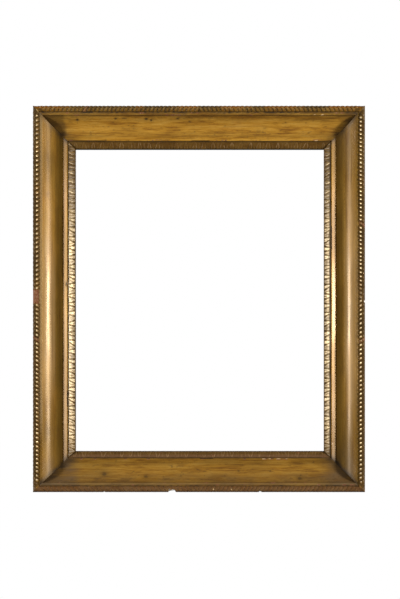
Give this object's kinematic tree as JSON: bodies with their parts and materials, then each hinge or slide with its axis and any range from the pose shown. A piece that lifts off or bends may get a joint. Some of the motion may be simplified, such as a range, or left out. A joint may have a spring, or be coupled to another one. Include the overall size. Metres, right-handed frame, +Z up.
{
  "type": "picture frame",
  "caption": "Rectangular gilded picture frame with a hollow moulding, rope-twist outer edge, leaf-and-dart sight edge, rear hanging rings and turn-buttons.",
  "frame": {"origin": "under the middle of the bottom edge, at half the depth", "axes": "+X to the right seen from the front, +Z up, the gilded front faces -Y"},
  "size_m": [0.65, 0.0628, 0.756],
  "materials": {
    "gilt_rail": "aged gold leaf over bole and gesso on poplar, back left raw",
    "gilt_ornament": "carved, aged gold leaf rubbed through to bole and dark dirt in the recesses",
    "key_wood": "raw hardwood",
    "iron": "rusted wrought iron",
    "brass": "tarnished",
    "screw_brass": "tarnished, slotted"
  },
  "bodies": {
    "frame": {"rail_top": "gilt_rail", "rail_bottom": "gilt_rail", "rail_left": "gilt_rail", "rail_right": "gilt_rail", "rope_top": "gilt_ornament", "rope_bottom": "gilt_ornament", "rope_left": "gilt_ornament", "rope_right": "gilt_ornament", "sight_top": "gilt_ornament", "sight_bottom": "gilt_ornament", "sight_left": "gilt_ornament", "sight_right": "gilt_ornament", "corner_key_top_left": "key_wood", "corner_key_top_right": "key_wood", "corner_key_bottom_left": "key_wood", "corner_key_bottom_right": "key_wood", "corner_nails": "iron", "hanger_strap_left": "brass", "hanger_strap_right": "brass", "hanger_screws": "screw_brass", "turn_button_screws": "screw_brass"},
    "ring_left": {"hanger_ring_left": "brass"},
    "ring_right": {"hanger_ring_right": "brass"},
    "button_left_lower": {"turn_button_left_lower": "brass"},
    "button_left_upper": {"turn_button_left_upper": "brass"},
    "button_right_lower": {"turn_button_right_lower": "brass"},
    "button_right_upper": {"turn_button_right_upper": "brass"}
  },
  "joints": [
    {"name": "ring_left_swing", "type": "hinge", "parent": "frame", "child": "ring_left", "pos_m": [-0.289, 0.0282, 0.566], "axis": [1, 0, 0], "range_deg": [0, 180]},
    {"name": "ring_right_swing", "type": "hinge", "parent": "frame", "child": "ring_right", "pos_m": [0.289, 0.0282, 0.566], "axis": [1, 0, 0], "range_deg": [0, 180]},
    {"name": "button_left_lower_turn", "type": "hinge", "parent": "frame", "child": "button_left_lower", "pos_m": [-0.2635, 0.0256, 0.15], "axis": [0, 1, 0], "continuous": true},
    {"name": "button_left_upper_turn", "type": "hinge", "parent": "frame", "child": "button_left_upper", "pos_m": [-0.2635, 0.0256, 0.606], "axis": [0, 1, 0], "continuous": true},
    {"name": "button_right_lower_turn", "type": "hinge", "parent": "frame", "child": "button_right_lower", "pos_m": [0.2635, 0.0256, 0.15], "axis": [0, 1, 0], "continuous": true},
    {"name": "button_right_upper_turn", "type": "hinge", "parent": "frame", "child": "button_right_upper", "pos_m": [0.2635, 0.0256, 0.606], "axis": [0, 1, 0], "continuous": true}
  ]
}
